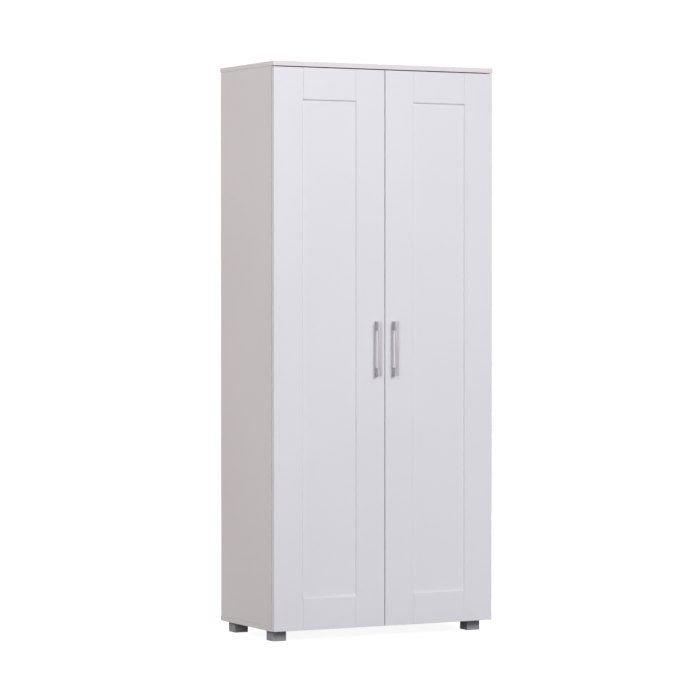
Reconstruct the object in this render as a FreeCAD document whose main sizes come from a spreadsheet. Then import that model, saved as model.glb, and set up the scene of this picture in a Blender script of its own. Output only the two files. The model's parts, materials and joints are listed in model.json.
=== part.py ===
"""Pantry cabinet: white board carcass, two five-piece doors on concealed four-bar hinges.

Millimetres, +Z up. The origin is the middle of the cabinet's footprint on the floor, the doors face
-Y and +X is to the right. The left half is drawn from the dimension sheet, and the right half is its
mirror image in the plane x = 0.
"""
import FreeCAD, Part
import os
import re

doc = FreeCAD.newDocument("pantry_cabinet")

# ---------------------------------------------------------------- driving dimensions
DIMENSIONS = {
    # outside sizes
    "cabinet_width": 800,
    "cabinet_height": 1850,
    "top_depth": 400,
    "handle_projection": 27,
    # boards
    "board": 15,
    "back_board": 3,
    "shelf_setback": 18,
    "shelf_end_gap": 1,
    "shelf_pitch": 300,
    # back joining strip
    "strip_flange": 20,
    "strip_wall": 1,
    # feet
    "foot_height": 35,
    "foot_side": 48,
    "foot_side_inset": 20,
    "foot_back_inset": 20,
    "foot_front_inset": 48,
    # doors
    "door_thickness": 16,
    "door_centre_gap": 3,
    "door_reveal": 1.5,
    "door_top_gap": 3,
    "door_bottom_reveal": 1,
    "door_back_gap": 2,
    "frame_width": 105,
    "frame_bevel": 4,
    "groove_depth": 8.5,
    "tongue_length": 8,
    "panel_thickness": 6,
    "panel_recess": 5.5,
    # handles
    "handle_width": 10.6,
    "handle_length": 176,
    "handle_bar_thickness": 7,
    "handle_post_height": 26,
    "handle_from_edge": 30,
    "handle_screw_spacing": 160,
    # carcass fittings
    "cam_radius": 7.4,
    "cam_depth": 12,
    "cam_reach": 24,
    "fitting_inset": 60,
    "dowel_radius": 4,
    "dowel_inset": 92,
    "pin_radius": 2.5,
    "pin_inset": 70,
    "pin_pitch": 32,
    # hinges: pin places are measured from the side board's inner front corner
    "cup_radius": 17.4,
    "cup_depth": 11.5,
    "cup_wall": 1.2,
    "cup_from_edge": 22.5,
    "axle_radius": 0.9,
    "outer_arm_pin_x": 8,
    "outer_arm_pin_y": -0.4,
    "outer_cup_pin_x": -4,
    "outer_cup_pin_y": -3.7,
    "inner_arm_pin_x": 22.3,
    "inner_arm_pin_y": -8,
    "inner_cup_pin_x": 4,
    "inner_cup_pin_y": -3.5,
    "plate_from_front": 37,
}

sheet = doc.addObject("Spreadsheet::Sheet", "dims")
for row, (alias, value) in enumerate(DIMENSIONS.items(), start=1):
    sheet.set(f"A{row}", alias)
    sheet.set(f"B{row}", str(value))
    sheet.setAlias(f"B{row}", alias)
doc.recompute()

# ---------------------------------------------------------------- derived places, as formulas
HALF_WIDTH = "(cabinet_width / 2)"
INNER_X = "(cabinet_width / 2 - board)"
BACK = "((top_depth + handle_projection) / 2)"
DOOR_FRONT = f"({BACK} - top_depth)"
DOOR_BACK = f"({DOOR_FRONT} + door_thickness)"
CARCASS_FRONT = f"({DOOR_BACK} + door_back_gap)"
SIDE_BACK = f"({BACK} - strip_wall - back_board)"
BACK_BOARD_BACK = f"({BACK} - strip_wall)"
SHELF_BACK = f"({SIDE_BACK} - strip_wall - 0.5)"
FLOOR_BOARD = "(foot_height + board)"
TOP_BOARD = "(cabinet_height - board)"
DOOR_BOTTOM = "(foot_height + door_bottom_reveal)"
DOOR_TOP = f"({TOP_BOARD} - door_top_gap)"
DOOR_OUTER = f"({HALF_WIDTH} - door_reveal)"
DOOR_INNER = "(door_centre_gap / 2)"
DOOR_MIDDLE_Z = f"(({DOOR_BOTTOM} + {DOOR_TOP}) / 2)"
PANEL_FRONT = f"({DOOR_FRONT} + panel_recess)"
PANEL_BACK = f"({PANEL_FRONT} + panel_thickness)"
CUP_X = f"(-{DOOR_OUTER} + cup_from_edge)"
FIXED_SHELF = 3
SHELF_COUNT = 5
HINGE_HEIGHTS = [140, 669, 1199, 1728]

X = (1, 0, 0)
Y = (0, 1, 0)
Z = (0, 0, 1)


def opposite(direction):
    return tuple(-value for value in direction)


def bind(formula):
    """Write a formula on dimension names as an expression on the sheet."""
    def qualify(match):
        word = match.group(0)
        return f"dims.{word}" if word in DIMENSIONS else word
    return re.sub(r"[a-z][a-z_]*", qualify, str(formula))


def shelf_bottom(index):
    """Underside of shelf 1 to 5, counted from the bottom."""
    return f"({FLOOR_BOARD} + {index} * shelf_pitch - board)"


def along(point, direction, distance):
    """The point moved by a distance along a unit direction."""
    return tuple(f"({place}) + ({step}) * ({distance})" if step else place
                 for place, step in zip(point, direction))


# ---------------------------------------------------------------- solids
names_used = {}


def fresh(stem):
    """A document name that isn't used yet."""
    names_used[stem] = names_used.get(stem, 0) + 1
    return f"{stem}_{names_used[stem]}"


def place(solid, point):
    for axis, formula in zip("xyz", point):
        solid.setExpression(f"Placement.Base.{axis}", bind(formula))


def box(x, y, z):
    """A box between low and high formulas on each axis."""
    solid = doc.addObject("Part::Box", fresh("box"))
    for size, (low, high) in zip(("Length", "Width", "Height"), (x, y, z)):
        solid.setExpression(size, bind(f"({high}) - ({low})"))
    place(solid, (x[0], y[0], z[0]))
    return solid


def turned(direction):
    """The placement that turns +Z onto a direction."""
    rotation = FreeCAD.Rotation(FreeCAD.Vector(*Z), FreeCAD.Vector(*direction))
    return FreeCAD.Placement(FreeCAD.Vector(), rotation)


def cylinder(start, direction, radius, length):
    solid = doc.addObject("Part::Cylinder", fresh("cylinder"))
    solid.Placement = turned(direction)
    solid.setExpression("Radius", bind(radius))
    solid.setExpression("Height", bind(length))
    place(solid, start)
    return solid


def bar(start, end, half_width, low, high):
    """A flat strip with round ends between two x, y points, from low to high in z."""
    run = f"(({end[0]}) - ({start[0]}))"
    rise = f"(({end[1]}) - ({start[1]}))"
    angle = f"atan2({rise}; {run})"
    strip = doc.addObject("Part::Box", fresh("strip"))
    strip.Placement = FreeCAD.Placement(FreeCAD.Vector(), FreeCAD.Rotation(FreeCAD.Vector(*Z), 1))
    strip.setExpression("Length", bind(f"hypot({run}; {rise})"))
    strip.setExpression("Width", bind(f"2 * ({half_width})"))
    strip.setExpression("Height", bind(f"({high}) - ({low})"))
    strip.setExpression("Placement.Rotation.Angle", bind(angle))
    place(strip, (f"({start[0]}) + ({half_width}) * sin({angle})",
                  f"({start[1]}) - ({half_width}) * cos({angle})", low))
    ends = [cylinder((point[0], point[1], low), Z, half_width, f"({high}) - ({low})")
            for point in (start, end)]
    return [strip] + ends


def fused(solids):
    solid = doc.addObject("Part::MultiFuse", fresh("fusion"))
    solid.Shapes = solids
    return solid


def together(solids, name):
    """Several separate solids kept as one sub-part."""
    group = doc.addObject("Part::Compound", name)
    group.Links = solids
    return group


def less(base, tools):
    """The base with every tool cut out of it."""
    solid = doc.addObject("Part::Cut", fresh("cut"))
    solid.Base = base
    solid.Tool = tools[0] if len(tools) == 1 else together(tools, fresh("tools"))
    return solid


def mirrored(source):
    """The mirror image of an object in the plane x = 0."""
    image = doc.addObject("Part::Mirroring", fresh("mirror"))
    image.Source = source
    image.Base = FreeCAD.Vector(0, 0, 0)
    image.Normal = FreeCAD.Vector(*X)
    return image


def both_sides(solids, name):
    """The left-hand solids and their mirror images as one sub-part."""
    left = together(solids, fresh("left_set"))
    return together([left, mirrored(left)], name)


BOX_EDGES = 12


def softened(source, size):
    """A box with all twelve edges chamfered."""
    solid = doc.addObject("Part::Chamfer", fresh("softened"))
    solid.Base = source
    solid.Edges = [(edge, size, size) for edge in range(1, BOX_EDGES + 1)]
    return solid


subparts = []


def subpart(solid, label):
    """Keep a finished object as a sub-part under its own label."""
    solid.Label = label
    subparts.append(solid)
    return solid


# ---------------------------------------------------------------- joints between boards
cam_bolts = []
cam_locks = []
dowels = []
side_tools = []
top_tools = []
floor_tools = []
fixed_shelf_tools = []

BOLT_THREAD_RADIUS = 2.5
BOLT_THREAD_LENGTH = 10
BOLT_COLLAR_RADIUS = 3.4
BOLT_CHANNEL_RADIUS = 3.5
BOLT_NECK_RADIUS = 1.8
BOLT_HEAD_RADIUS = 3.2
BOLT_HEAD_LENGTH = 3
BOLT_COLLAR_GAP = 0.6
HEAD_PLAY = 1
CLEARANCE = 0.05
HOLE_PLAY = 1


def cam_joint(point, bolt, face, cam_board_tools, bolt_board_tools):
    """A cam lock and bolt. The bolt points out of the cam's board, the cam opens on its face."""
    collar = f"(cam_reach - cam_radius - {BOLT_COLLAR_GAP})"
    neck_start = along(point, opposite(bolt), collar)
    head_start = along(point, opposite(bolt), "cam_reach")
    centre = along(head_start, face, "board / 2")
    cam_bolts.append(fused([
        cylinder(point, bolt, BOLT_THREAD_RADIUS, BOLT_THREAD_LENGTH),
        cylinder(neck_start, bolt, BOLT_COLLAR_RADIUS, collar),
        cylinder(head_start, bolt, BOLT_NECK_RADIUS, f"cam_reach - {collar}"),
        cylinder(head_start, bolt, BOLT_HEAD_RADIUS, BOLT_HEAD_LENGTH),
    ]))
    channel_start = along(head_start, opposite(bolt), HEAD_PLAY)
    disc = cylinder(centre, opposite(face), "cam_radius", "cam_depth")
    channel = cylinder(channel_start, bolt, BOLT_CHANNEL_RADIUS, f"cam_reach + {HEAD_PLAY}")
    cam_locks.append(less(disc, [channel]))
    cam_board_tools.append(cylinder(centre, opposite(face), f"cam_radius + 2 * {CLEARANCE}", "cam_depth"))
    cam_board_tools.append(cylinder(head_start, bolt, BOLT_CHANNEL_RADIUS, "cam_reach"))
    bolt_board_tools.append(cylinder(point, bolt, BOLT_THREAD_RADIUS + CLEARANCE,
                                     BOLT_THREAD_LENGTH + HOLE_PLAY))


DOWEL_SHORT = 10
DOWEL_LONG = 20


def dowel_joint(point, direction, near_tools, far_tools):
    """A wooden dowel: short end in the far board, long end in the near board."""
    start = along(point, opposite(direction), DOWEL_LONG)
    bore_start = along(point, opposite(direction), DOWEL_LONG + HOLE_PLAY)
    dowels.append(cylinder(start, direction, f"dowel_radius - {CLEARANCE}", DOWEL_LONG + DOWEL_SHORT))
    near_tools.append(cylinder(bore_start, direction, "dowel_radius", DOWEL_LONG + HOLE_PLAY))
    far_tools.append(cylinder(point, direction, "dowel_radius", DOWEL_SHORT + HOLE_PLAY / 2))


def front_and_back(inset):
    return [f"({CARCASS_FRONT} + {inset})", f"({SIDE_BACK} - {inset})"]


LEFT_BOARD_X = f"(-{HALF_WIDTH} + board / 2)"
SHELF_END_X = f"(-{INNER_X})"
FIXED_SHELF_MIDDLE = f"({shelf_bottom(FIXED_SHELF)} + board / 2)"

for y in front_and_back("fitting_inset"):
    cam_joint((LEFT_BOARD_X, y, TOP_BOARD), Z, X, side_tools, top_tools)
    cam_joint((LEFT_BOARD_X, y, FLOOR_BOARD), opposite(Z), X, side_tools, floor_tools)
    cam_joint((SHELF_END_X, y, FIXED_SHELF_MIDDLE), opposite(X), opposite(Z),
              fixed_shelf_tools, side_tools)
for y in front_and_back("dowel_inset"):
    dowel_joint((LEFT_BOARD_X, y, TOP_BOARD), Z, side_tools, top_tools)
    dowel_joint((LEFT_BOARD_X, y, FLOOR_BOARD), opposite(Z), side_tools, floor_tools)
    dowel_joint((SHELF_END_X, y, FIXED_SHELF_MIDDLE), opposite(X), fixed_shelf_tools, side_tools)

# ---------------------------------------------------------------- shelves and their pins
SHELF_FRONT = f"({CARCASS_FRONT} + shelf_setback)"
SHELF_END = f"({INNER_X} - shelf_end_gap)"
PIN_DEPTH = 8.5
PIN_TAB_REACH = 10
PIN_TAB_HALF_WIDTH = 4.5
PIN_TAB_THICKNESS = 2
shelf_pins = []
adjustable_shelves = []

for index in range(1, SHELF_COUNT + 1):
    under = shelf_bottom(index)
    if index == FIXED_SHELF:
        continue
    adjustable_shelves.append(box((f"-{SHELF_END}", SHELF_END), (SHELF_FRONT, SHELF_BACK),
                                  (under, f"{under} + board")))
    for y in front_and_back("pin_inset"):
        pin_z = f"({under} - pin_radius)"
        stem = cylinder((SHELF_END_X, y, pin_z), opposite(X), f"pin_radius - {CLEARANCE}", PIN_DEPTH)
        tab = box((SHELF_END_X, f"{SHELF_END_X} + {PIN_TAB_REACH}"),
                  (f"{y} - {PIN_TAB_HALF_WIDTH}", f"{y} + {PIN_TAB_HALF_WIDTH}"),
                  (f"{under} - {PIN_TAB_THICKNESS} - pin_radius", under))
        shelf_pins.append(fused([stem, tab]))
        for step in (-1, 0, 1):
            hole = (SHELF_END_X, y, f"{pin_z} + {step} * pin_pitch")
            side_tools.append(cylinder(hole, opposite(X), "pin_radius", PIN_DEPTH + HOLE_PLAY / 2))

# ---------------------------------------------------------------- feet
FOOT_SCREW_RADIUS = 2
FOOT_SCREW_BITE = 11
FOOT_SEAT = 8
FOOT_HEAD_RADIUS = 4
FOOT_HEAD_HEIGHT = 2.5
FOOT_WELL_RADIUS = 5.5
FOOT_BEVEL = 1.2
foot_blocks = []
foot_screws = []
foot_left = f"(-{HALF_WIDTH} + foot_side_inset)"
foot_fronts = [f"({DOOR_FRONT} + foot_front_inset)", f"({BACK} - foot_back_inset - foot_side)"]

for y in foot_fronts:
    block = softened(box((foot_left, f"{foot_left} + foot_side"), (y, f"{y} + foot_side"),
                         (0, "foot_height")), FOOT_BEVEL)
    axis_point = (f"({foot_left} + foot_side / 2)", f"({y} + foot_side / 2)", 0)
    seat = along(axis_point, Z, f"(foot_height - {FOOT_SEAT})")
    well = cylinder(axis_point, Z, FOOT_WELL_RADIUS, f"foot_height - {FOOT_SEAT}")
    bore = cylinder(seat, Z, FOOT_SCREW_RADIUS + CLEARANCE, FOOT_SEAT)
    foot_blocks.append(less(block, [fused([well, bore])]))
    foot_screws.append(fused([
        cylinder(seat, opposite(Z), FOOT_HEAD_RADIUS, FOOT_HEAD_HEIGHT),
        cylinder(seat, Z, FOOT_SCREW_RADIUS, FOOT_SEAT + FOOT_SCREW_BITE),
    ]))
    pilot = along(seat, Z, FOOT_SEAT)
    floor_tools.append(cylinder(pilot, Z, FOOT_SCREW_RADIUS + CLEARANCE, FOOT_SCREW_BITE + HOLE_PLAY))

# ---------------------------------------------------------------- back nails
NAIL_RADIUS = 0.8
NAIL_HEAD_RADIUS = 2.2
NAIL_HEAD_HEIGHT = 0.8
NAIL_BITE = 11
NAIL_COUNT = 7
back_nails = []
back_tools = []

for index in range(NAIL_COUNT):
    share = (index + 0.5) / NAIL_COUNT
    nail_z = f"({FLOOR_BOARD} + {share} * ({TOP_BOARD} - {FLOOR_BOARD}))"
    face = (LEFT_BOARD_X, BACK_BOARD_BACK, nail_z)
    back_nails.append(fused([
        cylinder(face, Y, NAIL_HEAD_RADIUS, NAIL_HEAD_HEIGHT),
        cylinder(face, opposite(Y), NAIL_RADIUS, f"back_board + {NAIL_BITE}"),
    ]))
    back_tools.append(cylinder(face, opposite(Y), NAIL_RADIUS + CLEARANCE, "back_board"))
    edge = (LEFT_BOARD_X, SIDE_BACK, nail_z)
    side_tools.append(cylinder(edge, opposite(Y), NAIL_RADIUS + CLEARANCE, NAIL_BITE + HOLE_PLAY))

# ---------------------------------------------------------------- wall brackets
BRACKET_X = "(-cabinet_width * 0.31)"
BRACKET_HALF_WIDTH = 10
BRACKET_LEG = 30
BRACKET_PLATE = 2
WALL_HOLE_RADIUS = 2.75
WALL_HOLE_DROP = 17
BRACKET_SCREW_RADIUS = 1.9
BRACKET_SCREW_BITE = 11
BRACKET_SCREW_INSET = 18
BRACKET_HEAD_RADIUS = 3.8
BRACKET_HEAD_HEIGHT = 2
wall_hole = (BRACKET_X, SIDE_BACK, f"({TOP_BOARD} - {WALL_HOLE_DROP})")
bracket_hole = along(wall_hole, opposite(Y), BRACKET_PLATE)
bracket_span = (f"{BRACKET_X} - {BRACKET_HALF_WIDTH}", f"{BRACKET_X} + {BRACKET_HALF_WIDTH}")
bracket_screw_point = (BRACKET_X, f"({SIDE_BACK} - {BRACKET_SCREW_INSET})",
                       f"({TOP_BOARD} - {BRACKET_PLATE})")
bracket = less(
    fused([
        box(bracket_span, (f"{SIDE_BACK} - {BRACKET_PLATE}", SIDE_BACK),
            (f"{TOP_BOARD} - {BRACKET_LEG}", TOP_BOARD)),
        box(bracket_span, (f"{SIDE_BACK} - {BRACKET_LEG}", SIDE_BACK),
            (f"{TOP_BOARD} - {BRACKET_PLATE}", TOP_BOARD)),
    ]),
    [cylinder(bracket_hole, Y, WALL_HOLE_RADIUS, BRACKET_PLATE),
     cylinder(bracket_screw_point, Z, BRACKET_SCREW_RADIUS + 2 * CLEARANCE, BRACKET_PLATE)])
bracket_screw = fused([
    cylinder(bracket_screw_point, opposite(Z), BRACKET_HEAD_RADIUS, BRACKET_HEAD_HEIGHT),
    cylinder(bracket_screw_point, Z, BRACKET_SCREW_RADIUS, BRACKET_PLATE + BRACKET_SCREW_BITE),
])
top_tools.append(cylinder(along(bracket_screw_point, Z, BRACKET_PLATE), Z, BRACKET_SCREW_RADIUS + CLEARANCE,
                          BRACKET_SCREW_BITE + HOLE_PLAY))
back_tools.append(cylinder(wall_hole, Y, WALL_HOLE_RADIUS, "back_board"))

# ---------------------------------------------------------------- hinge geometry
# levels each way from a hinge's middle: inner link, then the arm's cheeks, then the outer link's plates
INNER_HALF = 3.5
ARM_IN = 3.8
ARM_OUT = 5.0
OUTER_IN = 5.3
OUTER_OUT = 6.5
BORE = f"(axle_radius + {CLEARANCE})"


def corner_point(across, inward):
    """A left-hand x, y point from the side board's inner front corner."""
    return (f"(-{INNER_X} + ({across}))", f"({CARCASS_FRONT} + ({inward}))")


OUTER_ARM_PIN = corner_point("outer_arm_pin_x", "outer_arm_pin_y")
OUTER_CUP_PIN = corner_point("outer_cup_pin_x", "outer_cup_pin_y")
INNER_ARM_PIN = corner_point("inner_arm_pin_x", "inner_arm_pin_y")
INNER_CUP_PIN = corner_point("inner_cup_pin_x", "inner_cup_pin_y")
HINGE_Z = [str(height) for height in HINGE_HEIGHTS]


def strip_chain(points, half_width, low, high):
    """Strips through a row of x, y points, as one solid."""
    pieces = []
    for start, end in zip(points, points[1:]):
        pieces += bar(start, end, half_width, low, high)
    return pieces


def cheeks(points, half_width, inside, outside, middle):
    """The same row of strips above and below a hinge's middle."""
    upper = strip_chain(points, half_width, f"{middle} + {inside}", f"{middle} + {outside}")
    lower = strip_chain(points, half_width, f"{middle} - {outside}", f"{middle} - {inside}")
    return upper + lower


def upright(point, radius, middle, reach):
    """A cylinder along z through an x, y point, reaching both ways from the middle."""
    return cylinder((point[0], point[1], f"{middle} - {reach}"), Z, radius, f"2 * ({reach})")


# mounting plate and arm, in millimetres from the side board's inner front corner
PLATE_FACE = 2.5
PLATE_HALF_LENGTH = 20
PLATE_HALF_HEIGHT = 16
BOSS_FACE = 9
ARM_FACE = 14.5
PLATE_SCREW_RADIUS = 1.8
PLATE_SCREW_BITE = 10.5
PLATE_SCREW_RISE = 11.5
PLATE_HEAD_RADIUS = 3.2
PLATE_HEAD_HEIGHT = 1.6
BOSS_LEAD = 6
ADJUSTER_RADIUS = 2
ADJUSTER_HEAD_RADIUS = 3.4
ADJUSTER_HEAD_HEIGHT = 1.5
ADJUSTER_SETBACK = 8
ADJUSTER_TIP = 4

# the arm's outline: a wide rear part, a neck that dips round the side board's front edge, and two eyes
ARM_REAR = corner_point(9, 53)
ARM_SHOULDER = corner_point(9, 24)
ARM_BEND = corner_point(13, 7)
ARM_CROWN = corner_point("inner_arm_pin_x", 3)
ARM_REAR_HALF_WIDTH = 5.5
ARM_NECK_HALF_WIDTH = 3.4
OUTER_EYE_RADIUS = 1.9
INNER_EYE_RADIUS = 1.7
WEB_THICKNESS = 1.5
WEB_FRONT = 22
WEB_BACK = 55
OUTER_ARM_AXLE_REACH = 7.3
INNER_ARM_AXLE_REACH = 5.6

# the links' outlines
BOW_FRONT = corner_point(6.5, -7)
BOW_REAR = corner_point(-0.5, -7.9)
BOW_HALF_WIDTH = 1.4
OUTER_LINK_EYE = 2
OUTER_LINK_BARREL = 1.8
HOOK_THROAT = (f"{INNER_CUP_PIN[0]} + 2.6", f"{INNER_CUP_PIN[1]} + 0.9")
HOOK_TIP = (f"{INNER_CUP_PIN[0]} + 0.6", f"{INNER_CUP_PIN[1]} + 2.1")
HOOK_HALF_WIDTH = 0.8

hinge_plates = []
hinge_arms = []
plate_screws = []
adjusting_screws = []
arm_axles = []
outer_links = []
inner_links = []
hinge_cups = []
cup_axles = []
cup_screws = []
outer_stile_tools = []


def mounting_plate(middle):
    """A flat plate with a boss, screwed to the side board."""
    centre = "plate_from_front"
    x_low, y_low = corner_point(0, f"{centre} - {PLATE_HALF_LENGTH}")
    x_face, y_high = corner_point(PLATE_FACE, f"{centre} + {PLATE_HALF_LENGTH}")
    boss_x, boss_low = corner_point(BOSS_FACE, f"{centre} - {BOSS_LEAD}")
    plate = box((x_low, x_face), (y_low, y_high),
                (f"{middle} - {PLATE_HALF_HEIGHT}", f"{middle} + {PLATE_HALF_HEIGHT}"))
    boss = box((x_low, boss_x), (boss_low, y_high),
               (f"{middle} - {INNER_HALF}", f"{middle} + {INNER_HALF}"))
    tools = []
    for side in (-1, 1):
        screw_z = f"{middle} + {side} * {PLATE_SCREW_RISE}"
        face = corner_point(PLATE_FACE, centre) + (screw_z,)
        plate_screws.append(fused([
            cylinder(face, X, PLATE_HEAD_RADIUS, PLATE_HEAD_HEIGHT),
            cylinder(face, opposite(X), PLATE_SCREW_RADIUS, f"{PLATE_FACE} + {PLATE_SCREW_BITE}"),
        ]))
        tools.append(cylinder(face, opposite(X), PLATE_SCREW_RADIUS + CLEARANCE, PLATE_FACE))
        panel = (SHELF_END_X, face[1], screw_z)
        side_tools.append(cylinder(panel, opposite(X), PLATE_SCREW_RADIUS + CLEARANCE,
                                   PLATE_SCREW_BITE + HOLE_PLAY))
    adjuster = corner_point(ARM_FACE, f"{centre} + {ADJUSTER_SETBACK}") + (middle,)
    shank = ARM_FACE - ADJUSTER_TIP
    adjusting_screws.append(fused([
        cylinder(adjuster, X, ADJUSTER_HEAD_RADIUS, ADJUSTER_HEAD_HEIGHT),
        cylinder(adjuster, opposite(X), ADJUSTER_RADIUS, shank),
    ]))
    tools.append(cylinder(adjuster, opposite(X), ADJUSTER_RADIUS + CLEARANCE, shank + HOLE_PLAY))
    hinge_plates.append(less(fused([plate, boss]), tools))


def arm(middle):
    """Two cheeks over the plate's boss, a web between them, and a nose that dips into the cup."""
    solids = []
    for points, half_width in (
        ([ARM_REAR, ARM_SHOULDER], ARM_REAR_HALF_WIDTH),
        ([ARM_SHOULDER, ARM_BEND, ARM_CROWN], ARM_NECK_HALF_WIDTH),
        ([ARM_BEND, OUTER_ARM_PIN], OUTER_EYE_RADIUS),
        ([ARM_CROWN, INNER_ARM_PIN], INNER_EYE_RADIUS),
    ):
        solids += cheeks(points, half_width, ARM_IN, ARM_OUT, middle)
    web_low_x, web_low_y = corner_point(ARM_FACE - WEB_THICKNESS, WEB_FRONT)
    web_high_x, web_high_y = corner_point(ARM_FACE, WEB_BACK)
    solids.append(box((web_low_x, web_high_x), (web_low_y, web_high_y),
                      (f"{middle} - {ARM_OUT}", f"{middle} + {ARM_OUT}")))
    adjuster = corner_point(ARM_FACE, f"plate_from_front + {ADJUSTER_SETBACK}") + (middle,)
    tools = [cylinder(adjuster, opposite(X), ADJUSTER_RADIUS + CLEARANCE, WEB_THICKNESS)]
    tools += [upright(pin, BORE, middle, ARM_OUT) for pin in (OUTER_ARM_PIN, INNER_ARM_PIN)]
    hinge_arms.append(less(fused(solids), tools))
    arm_axles.append(upright(OUTER_ARM_PIN, "axle_radius", middle, OUTER_ARM_AXLE_REACH))
    arm_axles.append(upright(INNER_ARM_PIN, "axle_radius", middle, INNER_ARM_AXLE_REACH))


def links(middle):
    """The outer link bows round the inner cup axle, and the inner link hooks over it."""
    bow = [OUTER_ARM_PIN, BOW_FRONT, BOW_REAR, OUTER_CUP_PIN]
    solids = cheeks(bow, BOW_HALF_WIDTH, OUTER_IN, OUTER_OUT, middle)
    for low, high in ((OUTER_IN, OUTER_OUT), (-OUTER_OUT, -OUTER_IN)):
        eye = (*OUTER_ARM_PIN, f"{middle} + ({low})")
        solids.append(cylinder(eye, Z, OUTER_LINK_EYE, high - low))
    solids.append(upright(OUTER_CUP_PIN, OUTER_LINK_BARREL, middle, OUTER_OUT))
    tools = [upright(pin, BORE, middle, OUTER_OUT) for pin in (OUTER_ARM_PIN, OUTER_CUP_PIN)]
    outer_links.append(less(fused(solids), tools))

    plate = strip_chain([INNER_ARM_PIN, HOOK_THROAT, HOOK_TIP], HOOK_HALF_WIDTH,
                        f"{middle} - {INNER_HALF}", f"{middle} + {INNER_HALF}")
    barrel = upright(INNER_ARM_PIN, INNER_EYE_RADIUS, middle, INNER_HALF)
    inner_links.append(less(fused(plate + [barrel]), [upright(INNER_ARM_PIN, BORE, middle, INNER_HALF)]))


FLANGE_THICKNESS = 1.2
FLANGE_HALF_HEIGHT = 28
CUP_SCREW_RADIUS = 1.75
CUP_SCREW_RISE = 24
CUP_SCREW_OFFSET = 6
CUP_SCREW_BITE = 10
CUP_HEAD_RADIUS = 3
CUP_HEAD_HEIGHT = 0.5
FLANGE_INNER = 3
FLANGE_OUTER = 15
CUP_FLOOR = 1
CUP_AXLE_REACH = 10.1
LUG_BURIAL = 0.1
LUG_HALF_WIDTH = 1.7


def cup(middle):
    """A round cup let into the door, with a screwed flange, a long axle and two lugs for a short one."""
    mouth = (CUP_X, DOOR_BACK, middle)
    shell = cylinder(mouth, opposite(Y), "cup_radius", "cup_depth")
    flange = box((f"{CUP_X} - {FLANGE_INNER}", f"{CUP_X} + {FLANGE_OUTER}"),
                 (DOOR_BACK, f"{DOOR_BACK} + {FLANGE_THICKNESS}"),
                 (f"{middle} - {FLANGE_HALF_HEIGHT}", f"{middle} + {FLANGE_HALF_HEIGHT}"))
    hollow_top = FLANGE_THICKNESS + HOLE_PLAY
    hollow = cylinder(along(mouth, Y, hollow_top), opposite(Y), "cup_radius - cup_wall",
                      f"cup_depth - {CUP_FLOOR} + {hollow_top}")
    tools = [hollow, upright(OUTER_CUP_PIN, BORE, middle, CUP_AXLE_REACH + CLEARANCE)]
    cup_axles.append(upright(OUTER_CUP_PIN, "axle_radius", middle, CUP_AXLE_REACH))
    cup_axles.append(upright(INNER_CUP_PIN, "axle_radius", middle, ARM_OUT))
    for side in (-1, 1):
        screw = (f"{CUP_X} + {CUP_SCREW_OFFSET}", f"{DOOR_BACK} + {FLANGE_THICKNESS}",
                 f"{middle} + {side} * {CUP_SCREW_RISE}")
        cup_screws.append(fused([
            cylinder(screw, Y, CUP_HEAD_RADIUS, CUP_HEAD_HEIGHT),
            cylinder(screw, opposite(Y), CUP_SCREW_RADIUS, CUP_SCREW_BITE + FLANGE_THICKNESS),
        ]))
        tools.append(cylinder(screw, opposite(Y), CUP_SCREW_RADIUS + CLEARANCE, FLANGE_THICKNESS))
        board = along(screw, opposite(Y), FLANGE_THICKNESS)
        outer_stile_tools.append(cylinder(board, opposite(Y), CUP_SCREW_RADIUS + CLEARANCE,
                                          CUP_SCREW_BITE + HOLE_PLAY))
    lug_foot = (INNER_CUP_PIN[0], f"({DOOR_BACK} - cup_depth + {LUG_HALF_WIDTH} + {LUG_BURIAL})")
    lugs = cheeks([INNER_CUP_PIN, lug_foot], LUG_HALF_WIDTH, ARM_IN, ARM_OUT, middle)
    hollowed = less(fused([shell, flange]), tools)
    hinge_cups.append(less(fused([hollowed] + lugs), [upright(INNER_CUP_PIN, BORE, middle, ARM_OUT)]))
    outer_stile_tools.append(cylinder(mouth, opposite(Y), f"cup_radius + 2 * {CLEARANCE}",
                                      f"cup_depth + {HOLE_PLAY / 2}"))


for height in HINGE_Z:
    mounting_plate(height)
    arm(height)
    links(height)
    cup(height)

# ---------------------------------------------------------------- carcass sub-parts
WIDE = (f"-{HALF_WIDTH}", HALF_WIDTH)
top_board = box(WIDE, (DOOR_FRONT, BACK), (TOP_BOARD, "cabinet_height"))
floor_board = box(WIDE, (CARCASS_FRONT, BACK), ("foot_height", FLOOR_BOARD))
subpart(less(top_board, top_tools + [mirrored(together(top_tools, fresh("tools")))]), "top_panel")
subpart(less(floor_board, floor_tools + [mirrored(together(floor_tools, fresh("tools")))]), "bottom_panel")

side_board = box((f"-{HALF_WIDTH}", SHELF_END_X), (CARCASS_FRONT, SIDE_BACK), (FLOOR_BOARD, TOP_BOARD))
left_side = subpart(less(side_board, side_tools), "left_side_panel")
subpart(mirrored(left_side), "right_side_panel")

BACK_EDGE_INSET = 2
STRIP_PLAY = 0.25
back_half = box((f"-{HALF_WIDTH} + {BACK_EDGE_INSET}", f"-strip_wall / 2 - {STRIP_PLAY}"),
                (SIDE_BACK, BACK_BOARD_BACK), (FLOOR_BOARD, TOP_BOARD))
left_back = subpart(less(back_half, back_tools), "back_panel_left")
subpart(mirrored(left_back), "back_panel_right")

half_flange = "(strip_flange / 2)"
strip_height = (FLOOR_BOARD, TOP_BOARD)
subpart(fused([
    box(("-strip_wall / 2", "strip_wall / 2"), (SIDE_BACK, BACK_BOARD_BACK), strip_height),
    box((f"-{half_flange}", half_flange), (f"{SIDE_BACK} - strip_wall", SIDE_BACK), strip_height),
    box((f"-{half_flange}", half_flange), (BACK_BOARD_BACK, BACK), strip_height),
]), "back_joining_strip")

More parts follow.
